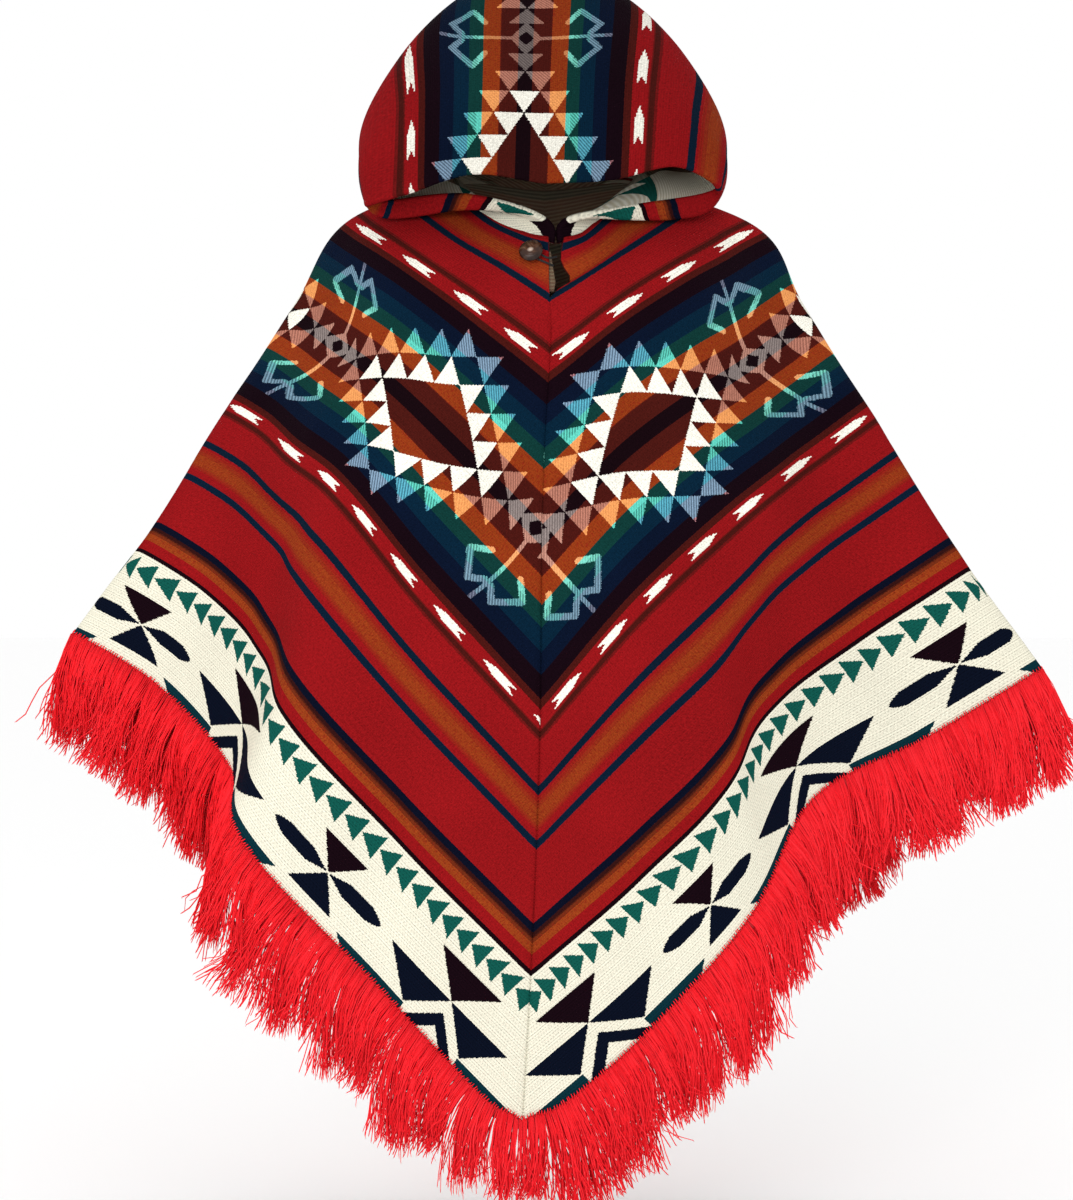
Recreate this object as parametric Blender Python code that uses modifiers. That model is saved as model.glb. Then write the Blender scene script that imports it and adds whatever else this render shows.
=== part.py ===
"""Andean poncho with a hood: two mitred halves of striped blanket cloth, a hood, a fringe,
a button and its elastic loop. It keeps the hollow shape that it has when it is worn.

Metres, +Z up. The front faces -Y, +X is on the right of someone who faces it, and the origin
is the middle of the neck opening at the height of the shoulders.
"""

import math

import bmesh
import bpy
import numpy as np
from mathutils import Vector

# ---------------------------------------------------------------- sizes

MM = 0.001
CLOTH = 2.5 * MM  # the blanket cloth's thickness
SEAM_GAP = 0.3 * MM  # clearance between two pieces that are sewn together
WELD = 0.01 * MM  # points closer than this are one, as along the hood's back seam
HALF_LEVELS = (0, 83, 190, 296, 456, 555)  # mm across the cloth at the columns below, neck to hem
HALF_ROWS = 18  # faces from neck to hem
TIP_ROUND = 22 * MM  # how far the hem's point is rounded off at front and back
TIP_REACH = 42 * MM
SLIT_LENGTH = 38  # open part of the front seam, across the cloth, in mm
SLIT_OPENING = 17 * MM  # how far the right half stands back at the top of the slit
SLIT_COLUMNS = 10  # the columns of faces beside the slit that give way with it

HOOD_ROWS = 14  # faces from the front edge to the back seam
HOOD_CENTRE = -2 * MM
NECK_SEAM = 2 * MM  # from the halves' neckline to the hood's middle surface
COLLAR_RISE = 13 * MM  # the hood stands up this far from the neckline before it falls outward

FRINGE_HEADING = 9 * MM  # the woven strip that the yarns hang from
FRINGE_THICKNESS = 3 * MM
LOCK_LENGTH = 84 * MM
LOCK_PITCH = 13.4 * MM
LOCK_SHARE = 0.72  # of the pitch: the rest is the gap between two locks
LOCK_DROOP = 0.7  # 0: square to the hem, 1: straight down, at the locks' ends
LOCK_EVENING = 3  # how often the locks' directions are evened out with their neighbours'

BUTTON_RADIUS = 10.5 * MM
BUTTON_THICKNESS = 4.2 * MM
BUTTON_FROM_EDGE = 12 * MM
BUTTON_LEVEL = 16  # across the cloth from the neck, in mm
SHANK_RADIUS = 1.5 * MM
SHANK_HEIGHT = 3.0 * MM
SEAT_GAP = 1.1 * MM  # under the shank, over the slightly curved cloth
ELASTIC_RADIUS = 0.9 * MM
LOOP_END_GAP = 1.1 * MM
LOOP_HEIGHT = 3.8 * MM  # from the cloth's middle surface to the elastic's axis, under the button
LOOP_TURN = 2.8 * MM  # radius of the loop's turn round the shank
LOOP_HALF_WIDTH = 3  # across the cloth at the right edge, in mm

# The button and its shank, as radius and height above the shank's foot, from the middle of its face
# round the rim to the foot.
BUTTON_TOP = SHANK_HEIGHT + BUTTON_THICKNESS
BUTTON_PROFILE = (
    (0, BUTTON_TOP - 1.0 * MM),
    (0.45 * BUTTON_RADIUS, BUTTON_TOP - 0.8 * MM),
    (0.72 * BUTTON_RADIUS, BUTTON_TOP),
    (0.9 * BUTTON_RADIUS, BUTTON_TOP - 0.3 * MM),
    (BUTTON_RADIUS, BUTTON_TOP - 1.5 * MM),
    (0.97 * BUTTON_RADIUS, SHANK_HEIGHT + 1.4 * MM),
    (0.8 * BUTTON_RADIUS, SHANK_HEIGHT + 0.3 * MM),
    (0.4 * BUTTON_RADIUS, SHANK_HEIGHT),
    (SHANK_RADIUS, SHANK_HEIGHT),
    (SHANK_RADIUS, 0),
    (0, 0),
)

# One row for each fold line of a half, from the centre-front seam over the shoulder to the
# centre back: the number of faces up to the next row, then x, y, z in mm at each level.
LEFT_HALF = (
    # name, faces, neck, upper_arrows, band, lower_arrows, border, hem
    ("centre_front", 4, (0, -70, -58), (-4, -105, -171), (-4, -126, -318), (-4, -140, -473), (-12, -148, -684),
     (-20, -150, -818)),
    ("breast", 6, (-20, -58, -52), (-66, -98, -118), (-79, -122, -233), (-105, -140, -357), (-121, -150, -560),
     (-133, -150, -684)),
    ("crest", 6, (-45, -40, -37), (-110, -78, -84), (-142, -102, -182), (-178, -116, -278), (-218, -132, -457),
     (-257, -142, -564)),
    ("root", 5, (-62, -24, -20), (-142, -50, -60), (-178, -64, -149), (-219, -72, -243), (-246, -58, -414),
     (-277, -56, -514)),
    ("wing", 5, (-74, -11, -6), (-162, -25, -44), (-204, -30, -128), (-250, -30, -214), (-307, -24, -367),
     (-349, -22, -444)),
    ("shoulder", 5, (-81, 0, 4), (-173, 0, -30), (-223, 0, -105), (-281, 0, -196), (-369, 0, -328),
     (-423, 0, -402)),
    ("back_wing", 5, (-72, 17, 10), (-160, 30, -36), (-204, 32, -128), (-252, 28, -226), (-316, 22, -374),
     (-358, 24, -446)),
    ("back_root", 6, (-54, 36, 13), (-132, 58, -50), (-172, 62, -160), (-214, 52, -274), (-262, 42, -430),
     (-296, 40, -506)),
    ("back_crest", 6, (-34, 52, 14), (-94, 82, -66), (-128, 90, -190), (-168, 94, -308), (-212, 104, -482),
     (-246, 112, -574)),
    ("back_blade", 4, (-16, 60, 14), (-48, 95, -88), (-70, 104, -224), (-92, 108, -362), (-108, 112, -572),
     (-124, 116, -690)),
    ("centre_back", 0, (0, 64, 14), (0, 98, -106), (0, 106, -262), (0, 108, -412), (0, 112, -640),
     (0, 114, -788)),
)
RIGHT_HALF = (
    ("centre_front", 4, (0, -70, -58), (-4, -105, -171), (-4, -126, -318), (-4, -140, -473), (-12, -148, -684),
     (-20, -150, -818)),
    ("breast", 6, (22, -58, -52), (68, -98, -120), (67, -122, -238), (78, -140, -377), (78, -148, -590),
     (82, -148, -718)),
    ("crest", 6, (45, -40, -37), (116, -78, -86), (134, -98, -196), (152, -108, -309), (148, -122, -523),
     (176, -126, -631)),
    ("root", 5, (62, -24, -20), (146, -50, -66), (172, -66, -168), (195, -80, -273), (189, -80, -462),
     (230, -70, -546)),
    ("wing", 5, (74, -11, -6), (168, -25, -50), (204, -30, -142), (242, -30, -238), (280, -24, -397),
     (338, -22, -495)),
    ("shoulder", 5, (81, 0, 4), (186, 0, -36), (231, 0, -107), (289, 0, -203), (383, 0, -345),
     (446, 0, -434)),
    ("back_wing", 5, (72, 17, 10), (168, 30, -42), (210, 32, -134), (256, 30, -232), (322, 26, -390),
     (376, 24, -478)),
    ("back_root", 6, (54, 36, 13), (136, 58, -54), (174, 64, -168), (212, 60, -282), (252, 46, -440),
     (298, 38, -528)),
    ("back_crest", 6, (34, 52, 14), (94, 82, -68), (126, 92, -192), (160, 98, -318), (198, 106, -498),
     (236, 110, -592)),
    ("back_blade", 4, (16, 60, 14), (48, 95, -88), (66, 104, -228), (84, 108, -368), (98, 112, -580),
     (112, 116, -700)),
    ("centre_back", 0, (0, 64, 14), (0, 98, -106), (0, 106, -262), (0, 108, -412), (0, 112, -640),
     (0, 114, -788)),
)

# The hood's left side, from the middle of its front edge down to the throat. Each row follows one
# stripe from the front edge to the back seam; the right side mirrors it, and both end at the neck.
HOOD_SIDE = (
    # name, faces, front_edge, face, crown, behind, back_seam
    ("top", 3, (0, -108, -16), (0, -116, 72), (0, -72, 165), (0, -20, 179), (0, 32, 172)),
    ("brow", 4, (-58, -102, -14), (-60, -108, 66), (-66, -60, 151), (-46, -4, 170), (0, 64, 158)),
    ("temple", 4, (-116, -84, -15), (-120, -84, 50), (-124, -40, 107), (-82, 26, 128), (0, 92, 128)),
    ("cheek", 4, (-155, -58, -22), (-161, -44, 14), (-154, -10, 46), (-94, 54, 78), (0, 106, 92)),
    ("jaw", 3, (-140, -44, -34), (-150, -24, -12), (-134, 12, 18), (-76, 64, 46), (0, 104, 60)),
    ("throat", 3, (-66, -60, -36), (-94, -32, -14), (-102, 6, 16), (-62, 56, 32), (0, 88, 42)),
    ("collar", 2),
)

# ---------------------------------------------------------------- helpers


def smooth_through(knots, values, at):
    """A smooth curve through values, one for each knot along the first axis, read at each of at."""
    knots = np.asarray(knots, float)
    slopes = np.gradient(values, knots, axis=0)
    i = np.clip(np.searchsorted(knots, at, side="right") - 1, 0, len(knots) - 2)
    shape = (-1,) + (1,) * (values.ndim - 1)
    width = (knots[i + 1] - knots[i]).reshape(shape)
    t = ((at - knots[i]) / (knots[i + 1] - knots[i])).reshape(shape)
    rise = t * t * (3 - 2 * t)
    leave = t * (1 - t) ** 2
    arrive = -t * t * (1 - t)
    bend = width * (leave * slopes[i] + arrive * slopes[i + 1])
    return (1 - rise) * values[i] + rise * values[i + 1] + bend


def surface(points, faces, levels, rows):
    """The grid through a table's points: columns of points, each from the first level to the last."""
    steps = np.linalg.norm(np.diff(points[:, 1:], axis=0), axis=2).mean(axis=1)
    knots = np.concatenate([[0], np.cumsum(steps)])
    at = [0]
    for start, end, count in zip(knots[:-1], knots[1:], faces):
        at += list(np.linspace(start, end, count + 1)[1:])
    columns = smooth_through(knots, points, np.array(at))
    down = np.linspace(levels[0], levels[-1], rows + 1)
    return smooth_through(levels, columns.swapaxes(0, 1), down).swapaxes(0, 1)


def table_points(table):
    """The points of a table's rows, in metres."""
    return np.array([row[2:] for row in table], float) * MM


def directions(grid):
    """Unit vectors along each column of a grid, and square to its surface."""
    across = np.gradient(grid, axis=0)
    down = np.gradient(grid, axis=1)
    down = down / np.linalg.norm(down, axis=2, keepdims=True)
    normal = np.cross(across, down)
    return down, normal / np.linalg.norm(normal, axis=2, keepdims=True)


def along_hem(grid):
    """How far each column of a half is from its centre-front seam, measured along the hem."""
    steps = np.linalg.norm(np.diff(grid[:, -1], axis=0), axis=1)
    return np.concatenate([[0], np.cumsum(steps)])


def half_grid(table, side):
    """One half of the poncho: side is -1 on the left and 1 on the right."""
    grid = surface(table_points(table), [row[1] for row in table[:-1]], HALF_LEVELS, HALF_ROWS)
    hem = along_hem(grid)
    nearest = np.minimum(hem, hem[-1] - hem)
    pull = TIP_ROUND * np.exp(-((nearest / TIP_REACH) ** 2))
    share = np.linspace(0, 1, HALF_ROWS + 1) ** 4
    grid = grid - directions(grid)[0] * (pull[:, None] * share[None, :])[:, :, None]
    grid[0, :, 0] += side * SEAM_GAP
    grid[-1, :, 0] += side * SEAM_GAP
    return grid


def open_slit(grid):
    """Stands the right half's front edge back beside the slit below the neck."""
    across_cloth = np.linspace(0, HALF_LEVELS[-1], HALF_ROWS + 1)
    share = np.clip(1 - across_cloth / SLIT_LENGTH, 0, 1)
    reach = np.clip(1 - np.arange(len(grid)) / SLIT_COLUMNS, 0, 1)
    moved = (reach[:, None] * share[None, :])[:, :, None]
    return grid + moved * np.array([SLIT_OPENING, 0.2 * SLIT_OPENING, 0])


def hood_side(half, side):
    """One side of the hood, down to the neckline of the half below it: side is -1 or 1."""
    points = table_points(HOOD_SIDE[:-1]) * np.array([-side, 1, 1]) + np.array([HOOD_CENTRE, 0, 0])
    points[:, -1, 0] = 0
    down, _ = directions(half)
    neckline = half[:, 0] - down[:, 0] * NECK_SEAM
    far = np.concatenate([[0], np.cumsum(np.linalg.norm(np.diff(neckline, axis=0), axis=1))])
    share = far / far[-1]
    corners = np.array([[np.interp(k / 4, share, neckline[:, axis]) for axis in range(3)] for k in range(5)])
    collar = corners + np.array([0, 0, COLLAR_RISE])
    for seam_row in (corners, collar):
        seam_row[-1, 0] = 0
    points = np.concatenate([points, collar[None], corners[None]])
    grid = surface(points, [row[1] for row in HOOD_SIDE], (0, 1, 2, 3, 4), HOOD_ROWS)
    rows = np.linspace(0, 1, HOOD_ROWS + 1)
    grid[-1] = np.stack([np.interp(rows, share, neckline[:, axis]) for axis in range(3)], axis=1)
    grid[:, -1, 0] = 0
    return grid


def hem_ring(left, right):
    """The hem all round, as points with the directions out of the cloth and down its surface."""
    line = np.concatenate([left[:, -1], right[-2:0:-1, -1]])
    out = np.concatenate([directions(left)[1][:, -1], -directions(right)[1][-2:0:-1, -1]])
    for seam, other in ((0, right[0, -1]), (len(left) - 1, right[-1, -1])):
        line[seam] = (line[seam] + other) / 2
    along = np.roll(line, -1, axis=0) - np.roll(line, 1, axis=0)
    down = np.cross(out, along)
    return line, out, down / np.linalg.norm(down, axis=1, keepdims=True)


def evened(ways):
    """Directions round the ring, each one the mean of itself and its neighbours."""
    for _ in range(LOCK_EVENING):
        ways = (np.roll(ways, 1, axis=0) + 2 * ways + np.roll(ways, -1, axis=0)) / 4
    return ways / np.linalg.norm(ways, axis=1, keepdims=True)


def new_collection(name):
    collection = bpy.data.collections.new(name)
    bpy.context.scene.collection.children.link(collection)
    return collection


def material(name, colour, roughness):
    made = bpy.data.materials.new(name)
    made.use_nodes = True
    principled = made.node_tree.nodes["Principled BSDF"]
    principled.inputs["Base Color"].default_value = (*colour, 1)
    principled.inputs["Roughness"].default_value = roughness
    principled.inputs["Metallic"].default_value = 0
    return made


def add_object(name, mesh, look, collection):
    mesh.materials.append(look)
    made = bpy.data.objects.new(name, mesh)
    collection.objects.link(made)
    return made


def cloth_piece(name, grid, look, collection):
    """A piece of cloth: the grid's surface, given its thickness by Solidify."""
    columns, rows = grid.shape[:2]
    sheet = bmesh.new()
    verts = [[sheet.verts.new(point) for point in column] for column in grid]
    for c in range(columns - 1):
        for r in range(rows - 1):
            sheet.faces.new((verts[c][r], verts[c][r + 1], verts[c + 1][r + 1], verts[c + 1][r]))
    bmesh.ops.remove_doubles(sheet, verts=sheet.verts, dist=WELD)
    mesh = bpy.data.meshes.new(name)
    sheet.to_mesh(mesh)
    sheet.free()
    mesh.shade_smooth()
    made = add_object(name, mesh, look, collection)
    wall = made.modifiers.new("Cloth thickness", "SOLIDIFY")
    wall.thickness = CLOTH
    wall.offset = 0
    return made


def fringe_piece(name, hem, look, collection):
    """The fringe: a strip along the hem, with locks of yarn that are one with its lower edge."""
    line, out, down = hem
    falls = evened(down)
    half_thick = FRINGE_THICKNESS / 2
    body = bmesh.new()
    stops = []
    for k in range(len(line)):
        nxt = (k + 1) % len(line)
        locks = max(1, round(np.linalg.norm(line[nxt] - line[k]) / LOCK_PITCH))
        for j in range(locks):
            for share in (j / locks, (j + LOCK_SHARE) / locks):
                stops.append([a[k] * (1 - share) + a[nxt] * share for a in (line, out, down, falls)])
    corners = []
    for point, normal, slope, _ in stops:
        top = point + slope * SEAM_GAP
        low = top + slope * FRINGE_HEADING
        sides = (normal * half_thick, -normal * half_thick)
        corners.append([body.verts.new(at + side) for at in (top, low) for side in sides])
    for k, (a, b) in enumerate(zip(corners, corners[1:] + corners[:1])):
        body.faces.new((a[0], b[0], b[1], a[1]))
        body.faces.new((a[0], a[2], b[2], b[0]))
        body.faces.new((a[1], b[1], b[3], a[3]))
        if k % 2:
            body.faces.new((a[2], a[3], b[3], b[2]))
            continue
        add_lock(body, (a[2], b[2], b[3], a[3]), stops[k][3], k // 2)
    bmesh.ops.recalc_face_normals(body, faces=body.faces)
    mesh = bpy.data.meshes.new(name)
    body.to_mesh(mesh)
    body.free()
    return add_object(name, mesh, look, collection)


def add_lock(body, root, fall, number):
    """One lock of yarn: it leaves the strip square to the hem, droops, thins and ends in a cut edge."""
    length = LOCK_LENGTH * (0.92 + 0.08 * math.sin(2.4 * number) * math.cos(0.7 * number))
    corners = np.array([vert.co for vert in root])
    centre = corners.mean(axis=0)
    ways = []
    for droop in (0.25 * LOCK_DROOP, LOCK_DROOP):
        way = fall * (1 - droop) + np.array([0, 0, -1]) * droop
        ways.append(way / np.linalg.norm(way))
    middle = centre + ways[0] * 0.5 * length
    tip = middle + ways[1] * 0.5 * length
    ring = [body.verts.new(middle + (corner - centre) * 0.92) for corner in corners]
    sides = ((corners[0] + corners[3]) / 2, (corners[1] + corners[2]) / 2)
    ends = [body.verts.new(tip + (side - centre) * 0.7) for side in sides]
    for k in range(4):
        body.faces.new((root[k], root[(k + 1) % 4], ring[(k + 1) % 4], ring[k]))
    body.faces.new((ring[0], ring[1], ends[1], ends[0]))
    body.faces.new((ring[2], ring[3], ends[0], ends[1]))
    body.faces.new((ring[1], ring[2], ends[1]))
    body.faces.new((ring[3], ring[0], ends[0]))


def point_on(half, level, from_edge):
    """A point of a half's middle surface, this far across the cloth (mm) and from its front edge."""
    row = level / HALF_LEVELS[-1] * HALF_ROWS
    low = int(row)
    normals = directions(half)[1]
    line, out = (a[:, low] * (1 - row + low) + a[:, low + 1] * (row - low) for a in (half, normals))
    far = np.concatenate([[0], np.cumsum(np.linalg.norm(np.diff(line, axis=0), axis=1))])
    point = np.array([np.interp(from_edge, far, line[:, axis]) for axis in range(3)])
    normal = np.array([np.interp(from_edge, far, out[:, axis]) for axis in range(3)])
    return point, normal / np.linalg.norm(normal)


def turned_piece(name, profile, look, collection):
    """A round piece: the profile turned about its own Z axis."""
    mesh = bpy.data.meshes.new(name)
    points = [(radius, 0, height) for radius, height in profile]
    mesh.from_pydata(points, [(k, k + 1) for k in range(len(points) - 1)], [])
    made = add_object(name, mesh, look, collection)
    turn = made.modifiers.new("Turned", "SCREW")
    turn.steps = 24
    turn.render_steps = 24
    turn.use_merge_vertices = True
    turn.merge_threshold = WELD
    turn.use_smooth_shade = True
    return made


def cord_piece(name, route, radius, look, collection):
    """A round cord through the points of its route."""
    curve = bpy.data.curves.new(name, "CURVE")
    curve.dimensions = "3D"
    curve.bevel_depth = radius
    curve.bevel_resolution = 2
    curve.use_fill_caps = True
    spline = curve.splines.new("POLY")
    points = np.array(route)
    far = np.concatenate([[0], np.cumsum(np.linalg.norm(np.diff(points, axis=0), axis=1))])
    smooth = smooth_through(far, points, np.linspace(0, far[-1], 3 * len(route)))
    spline.points.add(len(smooth) - 1)
    for point, place in zip(spline.points, smooth):
        point.co = (*place, 1)
    curve.materials.append(look)
    made = bpy.data.objects.new(name, curve)
    collection.objects.link(made)
    return made


# ---------------------------------------------------------------- the poncho

for old in list(bpy.data.objects):
    bpy.data.objects.remove(old, do_unlink=True)
poncho = new_collection("hooded_poncho")

blanket_red = material("Blanket cloth, red ground", (0.31, 0.009, 0.013), 0.9)
fringe_red = material("Red yarn", (0.74, 0.014, 0.021), 0.85)
horn_brown = material("Brown horn", (0.09, 0.05, 0.035), 0.2)
elastic_black = material("Black elastic", (0.01, 0.01, 0.01), 0.6)

# The two halves are strips of blanket cloth with mitred ends, folded over the shoulders and sewn
# together down the front, below the slit, and down the back.
left_grid = half_grid(LEFT_HALF, -1)
right_grid = open_slit(half_grid(RIGHT_HALF, 1))
left_half = cloth_piece("left_half", left_grid, blanket_red, poncho)
right_half = cloth_piece("right_half", right_grid, blanket_red, poncho)

# The hood is one rectangle of the same cloth. Its long edge is the front edge, the opposite edge
# is folded in half and sewn up as the back seam, and its short ends are sewn to the neckline.
left_side = hood_side(left_grid, -1)
right_side = hood_side(right_grid, 1)
right_side[:, -1] = left_side[:, -1]
hood_grid = np.concatenate([left_side[::-1], right_side[1:]])
hood = cloth_piece("hood", hood_grid, blanket_red, poncho)

# The fringe is one woven strip with red yarns, sewn all round the hem.
hem = hem_ring(left_grid, right_grid)
fringe = fringe_piece("fringe", hem, fringe_red, poncho)

# The button hangs on its shank at the left edge of the slit.
seat, seat_normal = point_on(left_grid, BUTTON_LEVEL, BUTTON_FROM_EDGE)
shank_foot = seat + seat_normal * (CLOTH / 2 + SEAT_GAP)
button = turned_piece("button", BUTTON_PROFILE, horn_brown, poncho)
button.location = shank_foot
button.rotation_euler = Vector(seat_normal).to_track_quat("Z", "Y").to_euler()

# The elastic loop leaves the right edge of the slit and goes round the shank behind the button.
left_edge, _ = point_on(left_grid, BUTTON_LEVEL, 0)
level_side = (left_edge - seat) / np.linalg.norm(left_edge - seat)
upward = np.cross(seat_normal, level_side)
loop_seat = seat + seat_normal * LOOP_HEIGHT
route = []
for turn in (1, -1):
    edge, _ = point_on(right_grid, BUTTON_LEVEL - turn * LOOP_HALF_WIDTH, 0)
    leg = [edge - np.array([LOOP_END_GAP, 0, 0]), left_edge + seat_normal * LOOP_HEIGHT + level_side * 3 * MM]
    leg[1] = leg[1] + upward * turn * 2.4 * MM
    leg.append(loop_seat + level_side * 4 * MM + upward * turn * 2.8 * MM)
    route += leg if turn == 1 else leg[::-1]
    if turn == 1:
        for angle in (80, 130, 180, 230, 280):
            sweep = math.radians(angle)
            route.append(loop_seat + (level_side * math.cos(sweep) + upward * math.sin(sweep)) * LOOP_TURN)
elastic_loop = cord_piece("elastic_loop", route, ELASTIC_RADIUS, elastic_black, poncho)
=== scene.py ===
"""Andean poncho with a hood, dressed: blanket cloth, hood, fringe, button and elastic loop."""

import math

import bmesh
import bpy
import numpy as np
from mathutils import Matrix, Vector


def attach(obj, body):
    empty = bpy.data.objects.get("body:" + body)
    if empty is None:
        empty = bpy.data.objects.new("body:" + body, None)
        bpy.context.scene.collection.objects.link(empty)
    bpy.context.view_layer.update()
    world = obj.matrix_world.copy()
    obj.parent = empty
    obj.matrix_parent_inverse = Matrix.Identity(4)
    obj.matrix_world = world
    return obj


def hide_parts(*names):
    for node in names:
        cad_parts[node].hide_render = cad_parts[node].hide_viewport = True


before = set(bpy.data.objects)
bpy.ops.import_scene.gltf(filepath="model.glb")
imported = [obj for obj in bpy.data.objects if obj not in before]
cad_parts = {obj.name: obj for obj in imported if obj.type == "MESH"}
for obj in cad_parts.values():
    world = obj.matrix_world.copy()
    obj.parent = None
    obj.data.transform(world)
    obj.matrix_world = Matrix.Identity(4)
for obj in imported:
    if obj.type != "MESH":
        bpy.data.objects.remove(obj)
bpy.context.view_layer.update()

# ---------------------------------------------------------------- the two halves
# Each half is a strip of wool blanket cloth with mitred ends, folded over the shoulder. The two
# are sewn together down the front, below the slit, and down the back. A row below is one fold
# line from neck to hem; the weave rows say which point of the flat cloth lies there.

MM = 0.001
CLOTH = 2.3 * MM
SEAM_GAP = 0.05 * MM
LEVELS = (0, 83, 190, 296, 456, 555)  # mm across the cloth, from the neck to the hem
HALF_COLUMNS = 300
HALF_ROWS = 108
ROW_LEVELS = np.linspace(0, LEVELS[-1], HALF_ROWS + 1)
HALF_FACES = (4, 6, 6, 5, 5, 5, 5, 6, 6, 4)  # coarse faces between the fold lines, front to back
TIP_ROUND = 14 * MM  # how much the hem's tips are rounded off, and how far along it
TIP_REACH = 26 * MM
SLIT_LENGTH = 38  # mm
SLIT_FACES = 10  # how many coarse faces the slit's gape spreads over
# How far the slit gapes at each of these places below the neck, in mm: it bulges under the loop.
SLIT_GAPES = ((0, 13), (9, 10.5), (18, 10), (24, 17), (30, 20), (35, 10), (38, 0), (42, 0))
# How far the front seam stands to the right of the middle, going down it, in mm.
SEAM_LEANS = ((0, 3), (38, 5.5), (60, 8), (83, 7.5), (130, 4), (190, 1), (250, 0), (555, 0))
SEAM_REACH = 60 * MM  # how far the cloth beside it goes with it

# Each fold line's points in mm: at the neck, the upper arrows, the band, the lower arrows, the
# border and the hem. The halves differ as they hang, and meet at the centre front and back.
CENTRE_FRONT = ((0, -70, -58), (-4, -105, -171), (-4, -126, -318), (-4, -140, -473),
                (-12, -148, -684), (-20, -150, -818))
CENTRE_BACK = ((0, 64, 14), (0, 98, -106), (0, 106, -262), (0, 108, -412), (0, 112, -640),
               (0, 114, -788))
LEFT_FOLDS = {
    "centre_front": CENTRE_FRONT,
    "breast": ((-20, -58, -52), (-66, -98, -118), (-79, -122, -233), (-105, -140, -357),
        (-121, -150, -561), (-134, -152, -697)),
    "crest": ((-45, -40, -37), (-110, -78, -84), (-142, -102, -182), (-178, -116, -278),
        (-218, -132, -457), (-257, -142, -564)),
    "root": ((-62, -24, -20), (-142, -50, -60), (-178, -64, -149), (-219, -72, -243),
        (-246, -58, -414), (-277, -56, -514)),
    "wing": ((-74, -11, -6), (-162, -25, -44), (-204, -30, -128), (-250, -30, -214),
        (-307, -24, -367), (-349, -22, -444)),
    "shoulder": ((-81, 0, 4), (-173, 0, -30), (-223, 0, -105), (-281, 0, -196),
        (-369, 0, -328), (-423, 0, -402)),
    "back_wing": ((-72, 17, 10), (-160, 30, -36), (-204, 32, -128), (-252, 28, -226),
        (-316, 22, -374), (-358, 24, -446)),
    "back_root": ((-54, 36, 13), (-132, 58, -50), (-172, 62, -160), (-214, 52, -274),
        (-262, 42, -430), (-296, 40, -506)),
    "back_crest": ((-34, 52, 14), (-94, 82, -66), (-128, 90, -190), (-168, 94, -308),
        (-212, 104, -482), (-246, 112, -574)),
    "back_blade": ((-16, 60, 14), (-48, 95, -88), (-70, 104, -224), (-92, 108, -362),
        (-108, 112, -572), (-124, 116, -690)),
    "centre_back": CENTRE_BACK,
}
RIGHT_FOLDS = {
    "centre_front": CENTRE_FRONT,
    "breast": ((22, -58, -52), (68, -98, -120), (67, -122, -238), (78, -140, -377),
        (78, -148, -591), (83, -150, -731)),
    "crest": ((45, -40, -37), (116, -78, -86), (134, -98, -196), (152, -108, -309),
        (148, -122, -523), (176, -126, -631)),
    "root": ((62, -24, -20), (146, -50, -66), (172, -66, -168), (195, -80, -273),
        (189, -80, -462), (230, -70, -546)),
    "wing": ((74, -11, -6), (168, -25, -50), (204, -30, -142), (242, -30, -238),
        (280, -24, -397), (338, -22, -495)),
    "shoulder": ((81, 0, 4), (186, 0, -36), (231, 0, -107), (289, 0, -203),
        (383, 0, -345), (446, 0, -434)),
    "back_wing": ((72, 17, 10), (168, 30, -42), (210, 32, -134), (256, 30, -232),
        (322, 26, -390), (376, 24, -478)),
    "back_root": ((54, 36, 13), (136, 58, -54), (174, 64, -168), (212, 60, -282),
        (252, 46, -440), (298, 38, -528)),
    "back_crest": ((34, 52, 14), (94, 82, -68), (126, 92, -192), (160, 98, -318),
        (198, 106, -498), (236, 110, -592)),
    "back_blade": ((16, 60, 14), (48, 95, -88), (66, 104, -228), (84, 108, -368),
        (98, 112, -580), (112, 116, -700)),
    "centre_back": CENTRE_BACK,
}
# The flat cloth under each fold line's points: mm along the stripes, then across them.
# These two tables aren't driving values: a separate least-squares fit to places read off by eye
# printed the rows from breast to shoulder.
LEFT_WEAVE = {
    "centre_front": ((-3, 0), (-91, 83), (-191, 190), (-296, 296), (-456, 456), (-561, 561)),
    "breast": ((12, 0), (7, 83), (-54, 184), (-145, 292), (-287, 446), (-360, 560)),
    "crest": ((38, 0), (67, 83), (41, 191), (-22, 298), (-157, 447), (-191, 563)),
    "root": ((62, 0), (110, 84), (121, 186), (54, 296), (-97, 451), (-119, 561)),
    "wing": ((80, 0), (136, 84), (166, 186), (96, 294), (-5, 461), (10, 563)),
    "shoulder": ((93, 0), (159, 82), (210, 176), (143, 293), (72, 457), (100, 559)),
    "centre_back": ((185, 0), (333, 83), (440, 190), (546, 296), (680, 456), (785, 561)),
}
RIGHT_WEAVE = {
    "centre_front": ((3, 0), (-76, 84), (-188, 189), (-296, 296), (-456, 456), (-561, 561)),
    "breast": ((18, 0), (9, 83), (-73, 183), (-166, 296), (-304, 445), (-412, 564)),
    "crest": ((42, 0), (71, 81), (27, 190), (-51, 296), (-223, 445), (-256, 561)),
    "root": ((64, 0), (108, 81), (92, 188), (10, 295), (-130, 447), (-149, 560)),
    "wing": ((80, 0), (129, 81), (137, 187), (68, 294), (-29, 446), (-38, 562)),
    "shoulder": ((92, 0), (157, 79), (197, 172), (137, 293), (83, 456), (76, 562)),
    "centre_back": ((182, 0), (333, 83), (440, 190), (546, 296), (680, 456), (785, 561)),
}


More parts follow.
